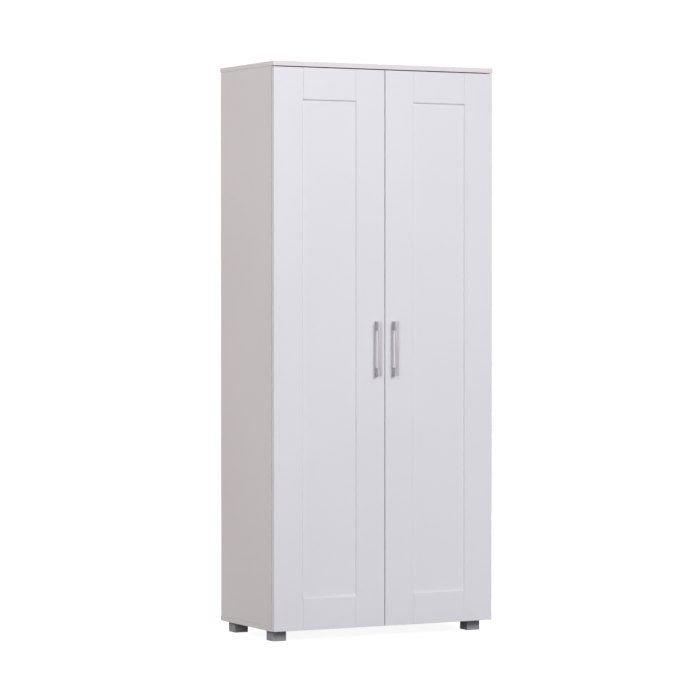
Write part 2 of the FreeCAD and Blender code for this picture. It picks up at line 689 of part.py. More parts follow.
fixed_under = shelf_bottom(FIXED_SHELF)
fixed_board = box((SHELF_END_X, INNER_X), (SHELF_FRONT, SHELF_BACK),
                  (fixed_under, f"{fixed_under} + board"))
subpart(less(fixed_board, fixed_shelf_tools + [mirrored(together(fixed_shelf_tools, fresh("tools")))]),
        "fixed_shelf")
for number, shelf in enumerate(adjustable_shelves, start=1):
    subpart(shelf, f"adjustable_shelf_{number}")

for end, block in zip(("front", "back"), foot_blocks):
    subpart(block, f"foot_{end}_left")
    subpart(mirrored(block), f"foot_{end}_right")

subpart(both_sides(shelf_pins, "shelf_pins"), "shelf_pins")
subpart(both_sides(foot_screws, "foot_screws"), "foot_screws")
subpart(both_sides(cam_locks, "cam_locks"), "cam_locks")
subpart(both_sides(cam_bolts, "cam_bolts"), "cam_bolts")
subpart(both_sides(dowels, "wooden_dowels"), "wooden_dowels")
subpart(both_sides(back_nails, "back_nails"), "back_nails")
subpart(both_sides([bracket], "wall_brackets"), "wall_brackets")
subpart(both_sides([bracket_screw], "bracket_screws"), "bracket_screws")
subpart(both_sides(plate_screws, "hinge_plate_screws"), "hinge_plate_screws")
subpart(both_sides(adjusting_screws, "hinge_adjusting_screws"), "hinge_adjusting_screws")
subpart(both_sides(arm_axles, "hinge_arm_axles"), "hinge_arm_axles")


def left_and_right(solid, stem):
    """A left-hand sub-part and its mirror image on the right."""
    left = subpart(solid, f"left_{stem}")
    subpart(mirrored(left), f"right_{stem}")


left_and_right(together(hinge_plates, "hinge_plates_left"), "hinge_plates")
left_and_right(together(hinge_arms, "hinge_arms_left"), "hinge_arms")
left_and_right(together(outer_links, "outer_links_left"), "outer_links")
left_and_right(together(inner_links, "inner_links_left"), "inner_links")

# ---------------------------------------------------------------- doors
OUTER_EDGE = f"(-{DOOR_OUTER})"
INNER_EDGE = f"(-{DOOR_INNER})"
OPENING_X = (f"({OUTER_EDGE} + frame_width)", f"({INNER_EDGE} - frame_width)")
OPENING_Z = (f"({DOOR_BOTTOM} + frame_width)", f"({DOOR_TOP} - frame_width)")
DOOR_SLAB = (DOOR_FRONT, DOOR_BACK)
GROOVE_Y = (PANEL_FRONT, PANEL_BACK)
GROOVE_X = (f"({OPENING_X[0]} - groove_depth)", f"({OPENING_X[1]} + groove_depth)")
GROOVE_Z = (f"({OPENING_Z[0]} - groove_depth)", f"({OPENING_Z[1]} + groove_depth)")
DOOR_HEIGHT = (DOOR_BOTTOM, DOOR_TOP)


WEDGE_START = 3000


def bevel_tool():
    """A tapered block: its sides cut the sloping edge round the recessed panel.

    A wedge refuses a low side above its high side, so it starts very wide before its sizes are bound.
    """
    wedge = doc.addObject("Part::Wedge", fresh("bevel"))
    formulas = {
        "Xmin": f"{OPENING_X[0]} - frame_bevel", "Xmax": f"{OPENING_X[1]} + frame_bevel",
        "Zmin": f"{OPENING_Z[0]} - frame_bevel", "Zmax": f"{OPENING_Z[1]} + frame_bevel",
        "X2min": OPENING_X[0], "X2max": OPENING_X[1],
        "Z2min": OPENING_Z[0], "Z2max": OPENING_Z[1],
        "Ymin": DOOR_FRONT, "Ymax": PANEL_FRONT,
    }
    for name in formulas:
        setattr(wedge, name, -WEDGE_START if name.endswith("min") else WEDGE_START)
    for name, formula in formulas.items():
        wedge.setExpression(name, bind(formula))
    return wedge


bevel = bevel_tool()
stile_groove = box(GROOVE_X, GROOVE_Y, DOOR_HEIGHT)
rail_groove = box(OPENING_X, GROOVE_Y, GROOVE_Z)

# handle fittings first, because they drill the inner stile
HANDLE_X = f"({INNER_EDGE} - handle_from_edge)"
HANDLE_FRONT = f"({DOOR_FRONT} - handle_projection)"
BAR_BACK = f"({HANDLE_FRONT} + handle_bar_thickness)"
HANDLE_SPAN = (f"{HANDLE_X} - handle_width / 2", f"{HANDLE_X} + handle_width / 2")
HANDLE_LOW = f"({DOOR_MIDDLE_Z} - handle_length / 2)"
HANDLE_HIGH = f"({DOOR_MIDDLE_Z} + handle_length / 2)"
HANDLE_SCREW_RADIUS = 1.95
HANDLE_SCREW_BITE = 12
HANDLE_HEAD_RADIUS = 4.5
HANDLE_HEAD_HEIGHT = 2.4
HANDLE_HOLE_RADIUS = 2.2
HANDLE_BAR_BEVEL = 0.6
inner_stile_tools = []
handle_posts = []
handle_screws = []
for side, low in ((-1, HANDLE_LOW), (1, f"({HANDLE_HIGH} - handle_post_height)")):
    screw_z = f"({DOOR_MIDDLE_Z} + {side} * handle_screw_spacing / 2)"
    head = (HANDLE_X, DOOR_BACK, screw_z)
    post = box(HANDLE_SPAN, (BAR_BACK, DOOR_FRONT), (low, f"{low} + handle_post_height"))
    tapped = cylinder((HANDLE_X, DOOR_FRONT, screw_z), opposite(Y), HANDLE_SCREW_RADIUS + CLEARANCE,
                      HANDLE_SCREW_BITE + HOLE_PLAY)
    handle_posts.append(less(post, [tapped]))
    handle_screws.append(fused([
        cylinder(head, Y, HANDLE_HEAD_RADIUS, HANDLE_HEAD_HEIGHT),
        cylinder(head, opposite(Y), HANDLE_SCREW_RADIUS, f"door_thickness + {HANDLE_SCREW_BITE}"),
    ]))
    inner_stile_tools.append(cylinder(head, opposite(Y), HANDLE_HOLE_RADIUS, "door_thickness"))
handle_bar = softened(box(HANDLE_SPAN, (HANDLE_FRONT, BAR_BACK), (HANDLE_LOW, HANDLE_HIGH)), HANDLE_BAR_BEVEL)

outer_stile = box((OUTER_EDGE, OPENING_X[0]), DOOR_SLAB, DOOR_HEIGHT)
inner_stile = box((OPENING_X[1], INNER_EDGE), DOOR_SLAB, DOOR_HEIGHT)
left_and_right(less(less(outer_stile, [stile_groove] + outer_stile_tools), [bevel]), "door_outer_stile")
left_and_right(less(less(inner_stile, [stile_groove] + inner_stile_tools), [bevel]), "door_inner_stile")

for stem, (low, high), tenon in (
    ("door_top_rail", (OPENING_Z[1], DOOR_TOP), (GROOVE_Z[1], DOOR_TOP)),
    ("door_bottom_rail", (DOOR_BOTTOM, OPENING_Z[0]), (DOOR_BOTTOM, GROOVE_Z[0])),
):
    rail = box(OPENING_X, DOOR_SLAB, (low, high))
    tenons = box((f"{OPENING_X[0]} - tongue_length", f"{OPENING_X[1]} + tongue_length"), GROOVE_Y, tenon)
    left_and_right(fused([less(less(rail, [rail_groove]), [bevel]), tenons]), stem)

panel = box((f"{OPENING_X[0]} - tongue_length", f"{OPENING_X[1]} + tongue_length"), GROOVE_Y,
            (f"{OPENING_Z[0]} - tongue_length", f"{OPENING_Z[1]} + tongue_length"))
left_and_right(panel, "door_panel")
left_and_right(handle_bar, "handle_bar")
left_and_right(together(handle_posts, "handle_posts_left"), "handle_posts")
left_and_right(together(handle_screws, "handle_screws_left"), "handle_screws")
left_and_right(together(hinge_cups, "hinge_cups_left"), "hinge_cups")
left_and_right(together(cup_axles, "cup_axles_left"), "cup_axles")
left_and_right(together(cup_screws, "cup_screws_left"), "cup_screws")

BUMPER_RADIUS = 4
BUMPER_RISE = 7
BUMPER_GAP = 0.2
BUMPER_INSETS = [18, 190]
bumpers = [cylinder((f"{INNER_EDGE} - {inset}", DOOR_BACK, f"({DOOR_BOTTOM} + {BUMPER_RISE})"), Y,
                    BUMPER_RADIUS, f"door_back_gap - {BUMPER_GAP}") for inset in BUMPER_INSETS]
left_and_right(together(bumpers, "bumpers_left"), "door_bumpers")

# ---------------------------------------------------------------- check and write
doc.recompute()
for item in doc.Objects:
    if "Invalid" in item.State or "Error" in item.State:
        raise RuntimeError(f"{item.Name} ({item.Label}) did not build: {item.State}")
for item in subparts:
    if item.Shape.isNull() or not item.Shape.isValid():
        raise RuntimeError(f"{item.Label} has no valid shape")

os.makedirs("parts", exist_ok=True)
for item in subparts:
    item.Shape.exportStep(f"parts/{item.Label}.step")
print(f"{len(subparts)} sub-parts written")
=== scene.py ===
"""Pantry cabinet: the looks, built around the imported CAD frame. Metres, +Z up, doors towards -Y."""
import json
import math

import bmesh
import bpy
from mathutils import Matrix, Vector


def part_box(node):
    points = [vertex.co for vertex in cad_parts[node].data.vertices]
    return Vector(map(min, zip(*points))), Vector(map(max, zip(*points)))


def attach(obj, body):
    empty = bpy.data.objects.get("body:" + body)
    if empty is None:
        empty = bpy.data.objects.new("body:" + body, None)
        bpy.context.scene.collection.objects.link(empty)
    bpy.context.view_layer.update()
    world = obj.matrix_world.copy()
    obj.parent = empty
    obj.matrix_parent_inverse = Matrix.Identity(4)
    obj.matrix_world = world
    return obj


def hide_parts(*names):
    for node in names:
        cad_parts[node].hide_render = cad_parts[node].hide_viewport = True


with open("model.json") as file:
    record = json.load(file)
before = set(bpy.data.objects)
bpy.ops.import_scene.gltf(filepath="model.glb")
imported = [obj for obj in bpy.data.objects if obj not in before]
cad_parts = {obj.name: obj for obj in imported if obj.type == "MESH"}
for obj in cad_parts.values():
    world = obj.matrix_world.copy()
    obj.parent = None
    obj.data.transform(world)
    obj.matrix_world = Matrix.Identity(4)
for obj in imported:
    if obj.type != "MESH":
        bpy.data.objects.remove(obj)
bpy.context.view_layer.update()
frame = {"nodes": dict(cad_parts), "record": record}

SIDES = ("left", "right")
MM = 0.001


# ---------------------------------------------------------------- node helpers
NOISE_ROUGHNESS = 0.55


class Nodes:
    """A small builder for one material's node tree."""

    def __init__(self, name):
        self.material = bpy.data.materials.new(name)
        self.material.use_nodes = True
        self.tree = self.material.node_tree
        self.tree.nodes.clear()
        self.output = self.tree.nodes.new("ShaderNodeOutputMaterial")
        self.shader = self.tree.nodes.new("ShaderNodeBsdfPrincipled")
        self.link(self.shader, "BSDF", self.output, "Surface")
        self.coordinates = self.tree.nodes.new("ShaderNodeTexCoord")

    def link(self, source, output, target, entry):
        self.tree.links.new(source.outputs[output], target.inputs[entry])

    def node(self, kind, **values):
        made = self.tree.nodes.new(kind)
        for key, value in values.items():
            if key in made.inputs:
                made.inputs[key].default_value = value
            else:
                setattr(made, key, value)
        return made

    def stretched(self, scale):
        """Object coordinates with a scale on each axis."""
        mapping = self.node("ShaderNodeMapping")
        mapping.inputs["Scale"].default_value = scale
        self.link(self.coordinates, "Object", mapping, "Vector")
        return mapping

    def noise(self, scale, detail, stretch=(1, 1, 1)):
        texture = self.node("ShaderNodeTexNoise", Scale=scale, Detail=detail, Roughness=NOISE_ROUGHNESS)
        self.link(self.stretched(stretch), "Vector", texture, "Vector")
        return texture

    def ramp(self, source, output, stops):
        """A factor turned into a colour, through (position, colour) stops."""
        ramp = self.node("ShaderNodeValToRGB")
        self.link(source, output, ramp, "Fac")
        elements = ramp.color_ramp.elements
        while len(elements) < len(stops):
            elements.new(0.5)
        for element, (position, color) in zip(elements, stops):
            element.position = position
            element.color = (*color, 1)
        return ramp

    def levels(self, source, output, low, high):
        """A factor from 0 to 1 turned into a value from low to high."""
        span = self.node("ShaderNodeMapRange")
        span.inputs["To Min"].default_value = low
        span.inputs["To Max"].default_value = high
        self.link(source, output, span, "Value")
        return span

    def bump(self, source, output, distance, strength, under=None):
        relief = self.node("ShaderNodeBump", Distance=distance, Strength=strength)
        self.link(source, output, relief, "Height")
        if under:
            self.link(under, "Normal", relief, "Normal")
        return relief


def grey(value, tint=(1, 1, 1)):
    """A grey with a slight tint."""
    return tuple(value * share for share in tint)


# ---------------------------------------------------------------- materials
PEARL_SIZE = 1.1 * MM
PEARL_DEPTH = 0.03 * MM
WAVE_DEPTH = 0.4 * MM
MOULDED_DEPTH = 0.06 * MM
BRUSHED_DEPTH = 0.02 * MM
GRAIN_DEPTH = 0.1 * MM


def faced_board(name, light, dark, roughness):
    """Melamine or foil on board: a pearl texture, and the board's slow waviness under it."""
    nodes = Nodes(name)
    mottle = nodes.noise(2.2, 4.0)
    nodes.link(nodes.ramp(mottle, "Fac", [(0.3, dark), (0.7, light)]), "Color", nodes.shader, "Base Color")
    smear = nodes.noise(9.0, 5.0, stretch=(1, 1, 0.35))
    nodes.link(nodes.levels(smear, "Fac", roughness - 0.05, roughness + 0.07), "Result",
               nodes.shader, "Roughness")
    wave = nodes.bump(nodes.noise(6.0, 1.0), "Fac", WAVE_DEPTH, 0.5)
    pearl = nodes.bump(nodes.noise(1 / PEARL_SIZE, 2.0), "Fac", PEARL_DEPTH, 0.6, wave)
    nodes.link(pearl, "Normal", nodes.shader, "Normal")
    nodes.shader.inputs["Specular IOR Level"].default_value = 0.4
    return nodes.material


def plastic(name, light, dark, roughness, grain):
    """Moulded plastic with a fine spark-eroded grain."""
    nodes = Nodes(name)
    clouds = nodes.noise(35.0, 3.0)
    nodes.link(nodes.ramp(clouds, "Fac", [(0.3, dark), (0.7, light)]), "Color", nodes.shader, "Base Color")
    fine = nodes.noise(1 / grain, 3.0)
    nodes.link(nodes.levels(fine, "Fac", roughness - 0.08, roughness + 0.08), "Result",
               nodes.shader, "Roughness")
    nodes.link(nodes.bump(fine, "Fac", MOULDED_DEPTH, 0.8), "Normal", nodes.shader, "Normal")
    return nodes.material


def metal(name, light, dark, roughness, brush):
    """Metal with drawn or plated texture; brush stretches the grain along each axis."""
    nodes = Nodes(name)
    lines = nodes.noise(900.0, 4.0, stretch=brush)
    nodes.link(nodes.ramp(lines, "Fac", [(0.3, dark), (0.7, light)]), "Color", nodes.shader, "Base Color")
    nodes.link(nodes.levels(lines, "Fac", roughness - 0.08, roughness + 0.1), "Result",
               nodes.shader, "Roughness")
    nodes.link(nodes.bump(lines, "Fac", BRUSHED_DEPTH, 0.5), "Normal", nodes.shader, "Normal")
    nodes.shader.inputs["Metallic"].default_value = 1.0
    return nodes.material


def beech(name):
    """Beech with its grain along Z."""
    nodes = Nodes(name)
    grain = nodes.noise(600.0, 5.0, stretch=(1, 1, 0.05))
    nodes.link(nodes.ramp(grain, "Fac", [(0.3, (0.52, 0.34, 0.19)), (0.7, (0.7, 0.5, 0.31))]), "Color",
               nodes.shader, "Base Color")
    nodes.link(nodes.levels(grain, "Fac", 0.5, 0.7), "Result", nodes.shader, "Roughness")
    nodes.link(nodes.bump(grain, "Fac", GRAIN_DEPTH, 0.5), "Normal", nodes.shader, "Normal")
    return nodes.material


WARM = (1.0, 0.965, 0.965)
COOL = (0.975, 0.97, 1.0)
DRAWN_ALONG_Z = (1, 1, 0.02)
SLOT_MATERIALS = {
    "white_board": faced_board("white_melamine", light=grey(0.8, WARM), dark=grey(0.775, WARM),
                               roughness=0.42),
    "door_foil": faced_board("white_door_foil", light=grey(0.83, COOL), dark=grey(0.81, COOL),
                             roughness=0.36),
    "back_board": faced_board("white_fibre_board", light=grey(0.76, WARM), dark=grey(0.72, WARM),
                              roughness=0.5),
    "white_plastic": plastic("white_extrusion", light=grey(0.78), dark=grey(0.75),
                             roughness=0.4, grain=1.2 * MM),
    "foot_plastic": plastic("grey_moulding", light=grey(0.38, COOL), dark=grey(0.34, COOL),
                            roughness=0.5, grain=0.9 * MM),
    "bumper_plastic": plastic("soft_pad", light=grey(0.82), dark=grey(0.78),
                              roughness=0.35, grain=0.8 * MM),
    "handle_metal": metal("satin_aluminium", light=(0.75, 0.73, 0.76), dark=(0.68, 0.66, 0.69),
                          roughness=0.34, brush=DRAWN_ALONG_Z),
    "handle_post_metal": metal("dark_satin_aluminium", light=grey(0.55), dark=grey(0.47),
                               roughness=0.38, brush=DRAWN_ALONG_Z),
    "nickel_steel": metal("nickel_plate", light=(0.76, 0.745, 0.715), dark=(0.71, 0.695, 0.665),
                          roughness=0.3, brush=(0.3, 0.3, 0.3)),
    "zinc_steel": metal("zinc_plate", light=(0.62, 0.64, 0.67), dark=(0.52, 0.53, 0.56),
                        roughness=0.36, brush=(0.5, 0.5, 0.5)),
    "beech": beech("beech_dowel"),
}
NODE_SLOTS = {row["node"]: row["material_slot"] for row in frame["record"]["subparts"]}
NODE_BODIES = {node: body for body, members in frame["record"]["behaviour"]["bodies"].items()
               for node in members}


def paint(thing, material):
    thing.data.materials.clear()
    thing.data.materials.append(material)


for node_name, cad in frame["nodes"].items():
    paint(cad, SLOT_MATERIALS[NODE_SLOTS[node_name]])


# ---------------------------------------------------------------- mesh helpers
WELD = 0.002 * MM
FLAT_ANGLE = math.radians(0.5)
ARRIS_ANGLE = math.radians(30)
SMOOTH_ANGLE = math.radians(35)
FITTING_SEGMENTS = 2
BOARD_SEGMENTS = 3
LATHE_SEGMENTS = 28
PUNCH_TAPER = 0.5
LONG_ARRIS = 5 * MM
NEAR = 0.01 * MM
UP = Vector((0, 0, 1))


def add_object(name, shape):
    """The shape as an object in the scene."""
    mesh = bpy.data.meshes.new(name)
    shape.to_mesh(mesh)
    shape.free()
    made = bpy.data.objects.new(name, mesh)
    bpy.context.scene.collection.objects.link(made)
    return made


def block(name, low, high):
    """A box between two corners."""
    shape = bmesh.new()
    bmesh.ops.create_cube(shape, size=1.0)
    low, high = Vector(low), Vector(high)
    for vertex in shape.verts:
        vertex.co = (low + high) / 2 + vertex.co * (high - low)
    return add_object(name, shape)


def solid_shape(node):
    """A CAD node's solids, with the triangles of each flat face merged."""
    source = frame["nodes"][node].data
    bare = bpy.data.meshes.new("bare")
    bare.from_pydata([vertex.co for vertex in source.vertices], [],
                     [tuple(polygon.vertices) for polygon in source.polygons])
    shape = bmesh.new()
    shape.from_mesh(bare)
    bpy.data.meshes.remove(bare)
    bmesh.ops.remove_doubles(shape, verts=shape.verts, dist=WELD)
    bmesh.ops.dissolve_degenerate(shape, edges=shape.edges, dist=WELD)
    bmesh.ops.dissolve_limit(shape, angle_limit=FLAT_ANGLE, verts=shape.verts, edges=shape.edges)
    return shape


def islands(node):
    """Low and high corners of each separate solid in a CAD node."""
    shape = solid_shape(node)
    unseen = set(shape.verts)
    found = []
    while unseen:
        group = [unseen.pop()]
        for vertex in group:
            for edge in vertex.link_edges:
                other = edge.other_vert(vertex)
                if other in unseen:
                    unseen.remove(other)
                    group.append(other)
        low, high = (Vector(pick(vertex.co[axis] for vertex in group) for axis in range(3))
                     for pick in (min, max))
        found.append((low, high))
    shape.free()
    return sorted(found, key=lambda corners: tuple(corners[0]))


def settle(thing):
    """Applies the modifiers."""
    graph = bpy.context.evaluated_depsgraph_get()
    graph.update()
    mesh = bpy.data.meshes.new_from_object(thing.evaluated_get(graph))
    thing.modifiers.clear()
    thing.data = mesh


def soften(thing, width):
    """Rounds every arris by the width."""
    modifier = thing.modifiers.new("arris", "BEVEL")
    modifier.width = width
    modifier.segments = FITTING_SEGMENTS
    modifier.limit_method = "ANGLE"
    modifier.angle_limit = ARRIS_ANGLE
    settle(thing)


def cut(thing, tool):
    """Takes the tool's shape out of a piece, and removes the tool."""
    modifier = thing.modifiers.new("cut", "BOOLEAN")
    modifier.operation = "DIFFERENCE"
    modifier.solver = "EXACT"
    modifier.object = tool
    settle(thing)
    bpy.data.objects.remove(tool)


def shade(thing):
    """Smooth round arrises, flat faces."""
    for polygon in thing.data.polygons:
        polygon.use_smooth = True
    thing.data.set_sharp_from_angle(angle=SMOOTH_ANGLE)
    modifier = thing.modifiers.new("normals", "WEIGHTED_NORMAL")
    modifier.keep_sharp = True
    settle(thing)


def stand_in(thing, node):
    """The piece takes the place, finish and body of its CAD node."""
    shade(thing)
    paint(thing, SLOT_MATERIALS[NODE_SLOTS[node]])
    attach(thing, NODE_BODIES[node])
    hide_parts(node)


def fitting(node, arris):
    """A small CAD solid with every arris rounded, as far as its narrowest face allows."""
    piece = add_object(f"{node}_piece", solid_shape(node))
    soften(piece, arris)
    return piece


def long_arrises(shape):
    return [edge for edge in shape.edges if edge.is_manifold and edge.calc_length() > LONG_ARRIS
            and edge.calc_face_angle() > ARRIS_ANGLE]


def board(node, arris, chamfer=0, chamfered=None):
    """A CAD solid with its long arrises rounded and its drilled holes left crisp.

    The arrises whose two ends pass the test get a flat chamfer instead.
    """
    shape = solid_shape(node)
    slopes = set()
    if chamfer:
        edges = [edge for edge in long_arrises(shape) if all(chamfered(vertex.co) for vertex in edge.verts)]
        made = bmesh.ops.bevel(shape, geom=edges, offset=chamfer, offset_type="OFFSET", segments=1,
                               profile=0.5, affect="EDGES", clamp_overlap=False)
        slopes = {edge for face in made["faces"] for edge in face.edges}
    rounded = [edge for edge in long_arrises(shape) if edge not in slopes]
    bmesh.ops.bevel(shape, geom=rounded, offset=arris, offset_type="OFFSET",
                    segments=BOARD_SEGMENTS, profile=0.5, affect="EDGES", clamp_overlap=False)
    return add_object(f"{node}_piece", shape)


def towards(node, other, axis):
    """A test for points on a node's front arris on the side of another node."""
    low, high = (Vector(corner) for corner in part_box(node))
    aim = sum((Vector(corner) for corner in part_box(other)), Vector())[axis] / 2
    inner = high[axis] if aim > high[axis] else low[axis]
    return lambda point: abs(point.y - low.y) < NEAR and abs(point[axis] - inner) < NEAR


def lathe(profile):
    """A shape of revolution about Z through (radius, height) points. Both ends lie on the axis."""
    shape = bmesh.new()
    rings = []
    for radius, height in profile:
        count = LATHE_SEGMENTS if radius else 1
        angles = [2 * math.pi * step / count for step in range(count)]
        rings.append([shape.verts.new((radius * math.cos(angle), radius * math.sin(angle), height))
                      for angle in angles])
    for upper, lower in zip(rings, rings[1:]):
        for step in range(LATHE_SEGMENTS):
            after = step + 1
            corners = [upper[step % len(upper)], lower[step % len(lower)],
                       lower[after % len(lower)], upper[after % len(upper)]]
            shape.faces.new(list(dict.fromkeys(corners)))
    bmesh.ops.recalc_face_normals(shape, faces=shape.faces)
    return shape


def cross_punch(reach, half_width, depth):
    """A tapered plus shape that starts above z = 0 and ends at the depth."""
    corner = [(reach, half_width), (half_width, half_width), (half_width, reach)]
    outline = []
    for turn in range(4):
        quarter = Matrix.Rotation(turn * math.pi / 2, 2)
        outline += [quarter @ Vector(point) for point in corner]
    shape = bmesh.new()
    rings = [[shape.verts.new((*(point * share), height)) for point in outline]
             for share, height in ((1 + PUNCH_TAPER, depth), (PUNCH_TAPER, -depth))]
    for ring in rings:
        shape.faces.new(ring)
    for step in range(len(outline)):
        after = (step + 1) % len(outline)
        shape.faces.new([rings[0][step], rings[1][step], rings[1][after], rings[0][after]])
    bmesh.ops.recalc_face_normals(shape, faces=shape.faces)
    return add_object("cross_punch", shape)


def copies(name, template, spots):
    """Copies of a template as one object. Each spot is where its origin goes and where its +Z points."""
    shape = bmesh.new()
    for place, direction in spots:
        known = len(shape.verts)
        shape.from_mesh(template.data)
        turn = UP.rotation_difference(direction).to_matrix().to_4x4()
        bmesh.ops.transform(shape, matrix=Matrix.Translation(place) @ turn, verts=list(shape.verts)[known:])
    bpy.data.objects.remove(template)
    return add_object(name, shape)


# ---------------------------------------------------------------- fasteners and small fittings
def towards_middle(corners):
    """Along x, from the side board to the middle of the cabinet."""
    return Vector((-math.copysign(1, corners[0].x), 0, 0))


def backwards(corners):
    return Vector((0, 1, 0))


def downwards(corners):
    return Vector((0, 0, -1))


def head_spots(corner_pairs, way):
    """The middle of each fastener's outer face, and its direction."""
    spots = []
    for low, high in corner_pairs:
        direction = way((low, high))
        middle = (low + high) / 2
        half = (high - low) / 2
        reach = sum(abs(direction[axis]) * half[axis] for axis in range(3))
        spots.append((middle + direction * reach, direction))
    return spots


def measures(corner_pairs, way):
    """The head radius and whole length of a row of equal fasteners."""
    low, high = corner_pairs[0]
    size = high - low
    direction = way((low, high))
    length = sum(abs(direction[axis]) * size[axis] for axis in range(3))
    radius = max((1 - abs(direction[axis])) * size[axis] for axis in range(3)) / 2
    return radius, length


THREAD_PITCH = 1.4 * MM
CORE_SHARE = 0.72
NECK_LENGTH = 0.8 * MM
SCREW_TIP = 3 * MM


def screw_profile(head_radius, head_height, shank_radius, length):
    """A domed head, then a shank with a ridge for each turn of its thread, and a point."""
    core = shank_radius * CORE_SHARE
    neck = head_height + NECK_LENGTH
    profile = [(0, 0), (head_radius * 0.5, -head_height * 0.08), (head_radius * 0.8, -head_height * 0.28),
               (head_radius * 0.97, -head_height * 0.62), (head_radius, -head_height * 0.85),
               (head_radius * 0.96, -head_height), (shank_radius, -head_height), (shank_radius, -neck)]
    turns = int((length - neck - SCREW_TIP) / THREAD_PITCH)
    for turn in range(turns):
        top = neck + turn * THREAD_PITCH
        profile += [(core, -top - THREAD_PITCH * 0.3), (core, -top - THREAD_PITCH * 0.7),
                    (shank_radius, -top - THREAD_PITCH)]
    return profile + [(core, -(length - SCREW_TIP)), (core * 0.6, -(length - SCREW_TIP / 3)), (0, -length)]


# Each row: the way its head faces, head height, shank radius.
SCREWS = {
    "hinge_plate_screws": (towards_middle, 1.6 * MM, 1.8 * MM),
    "hinge_adjusting_screws": (towards_middle, 1.5 * MM, 2.0 * MM),
    "left_cup_screws": (backwards, 0.5 * MM, 1.75 * MM),
    "right_cup_screws": (backwards, 0.5 * MM, 1.75 * MM),
    "left_handle_screws": (backwards, 2.4 * MM, 1.95 * MM),
    "right_handle_screws": (backwards, 2.4 * MM, 1.95 * MM),
    "foot_screws": (downwards, 2.5 * MM, 2.0 * MM),
    "bracket_screws": (downwards, 2.0 * MM, 1.9 * MM),
}
# A cross recess, as shares of its head.
CROSS_REACH = 0.55
CROSS_HALF_WIDTH = 0.13
CROSS_DEPTH = 0.6
for node, (way, head_height, shank_radius) in SCREWS.items():
    solids = islands(node)
    head_radius, length = measures(solids, way)
    template = add_object("screw", lathe(screw_profile(head_radius, head_height, shank_radius, length)))
    cut(template, cross_punch(head_radius * CROSS_REACH, head_radius * CROSS_HALF_WIDTH,
                              head_height * CROSS_DEPTH))
    stand_in(copies(f"{node}_piece", template, head_spots(solids, way)), node)

NAIL_SHANK = 0.8 * MM
NAIL_HEAD = 0.8 * MM
NAIL_TIP = 2 * MM
nails = islands("back_nails")
nail_radius, nail_length = measures(nails, backwards)
nail = lathe([(0, 0), (nail_radius * 0.7, -NAIL_HEAD * 0.15), (nail_radius, -NAIL_HEAD * 0.5),
              (nail_radius * 0.9, -NAIL_HEAD), (NAIL_SHANK, -NAIL_HEAD * 1.2),
              (NAIL_SHANK, -nail_length + NAIL_TIP), (0, -nail_length)])
stand_in(copies("back_nails_piece", add_object("nail", nail), head_spots(nails, backwards)), "back_nails")

for side in SIDES:
    node = f"{side}_door_bumpers"
    pads = islands(node)
    pad_radius, pad_height = measures(pads, backwards)
    pad = lathe([(0, 0), (pad_radius * 0.45, -pad_height * 0.06), (pad_radius * 0.75, -pad_height * 0.25),
                 (pad_radius * 0.95, -pad_height * 0.6), (pad_radius, -pad_height), (0, -pad_height)])
    stand_in(copies(f"{node}_piece", add_object("pad", pad), head_spots(pads, backwards)), node)


def cam_way(corners):
    """A cam opens towards the cabinet's middle in a side board, and downwards in the fixed shelf."""
    flat = corners[1].z - corners[0].z < corners[1].x - corners[0].x
    return downwards(corners) if flat else towards_middle(corners)


CAM_CROSS_REACH = 4.2 * MM
CAM_CROSS_HALF_WIDTH = 0.8 * MM
CAM_CROSS_DEPTH = 2.5 * MM
cams = fitting("cam_locks", 0.4 * MM)
cam_boxes = islands("cam_locks")
cut(cams, copies("cam_punches", cross_punch(CAM_CROSS_REACH, CAM_CROSS_HALF_WIDTH, CAM_CROSS_DEPTH),
                 [spot for corners in cam_boxes for spot in head_spots([corners], cam_way)]))
stand_in(cams, "cam_locks")

# ---------------------------------------------------------------- boards, doors, handles, feet and hinges
# How far each piece's arrises are worked, in millimetres.
BOARDS = {
    "top_panel": 1.0,
    "bottom_panel": 1.0,
    "fixed_shelf": 0.7,
}
FITTINGS = {
    "back_joining_strip": 0.25,
    "shelf_pins": 0.35,
    "wall_brackets": 0.4,
    "hinge_arm_axles": 0.2,
    "cam_bolts": 0.25,
    "wooden_dowels": 0.8,
}
for number in range(1, 5):
    BOARDS[f"adjustable_shelf_{number}"] = 0.7
for side in SIDES:
    BOARDS[f"{side}_side_panel"] = 0.8
    BOARDS[f"back_panel_{side}"] = 0.25
    BOARDS[f"{side}_door_panel"] = 0.35
    for foot in (f"foot_front_{side}", f"foot_back_{side}"):
        BOARDS[foot] = 0.5
    for stem in ("handle_bar", "handle_posts"):
        BOARDS[f"{side}_{stem}"] = 0.3
    for stem, width in (("hinge_plates", 0.35), ("hinge_arms", 0.3), ("outer_links", 0.25),
                        ("inner_links", 0.25), ("hinge_cups", 0.35), ("cup_axles", 0.2)):
        FITTINGS[f"{side}_{stem}"] = width
pieces = {node: board(node, width * MM) for node, width in BOARDS.items()}
pieces.update({node: fitting(node, width * MM) for node, width in FITTINGS.items()})

# The frame of each door has a chamfer round its panel.
FRAME_ARRIS = 0.9 * MM
PANEL_CHAMFER = 1.3 * MM
for side in SIDES:
    for stem, axis in (("outer_stile", 0), ("inner_stile", 0), ("top_rail", 2), ("bottom_rail", 2)):
        node = f"{side}_door_{stem}"
        pieces[node] = board(node, FRAME_ARRIS, PANEL_CHAMFER, towards(node, f"{side}_door_panel", axis))

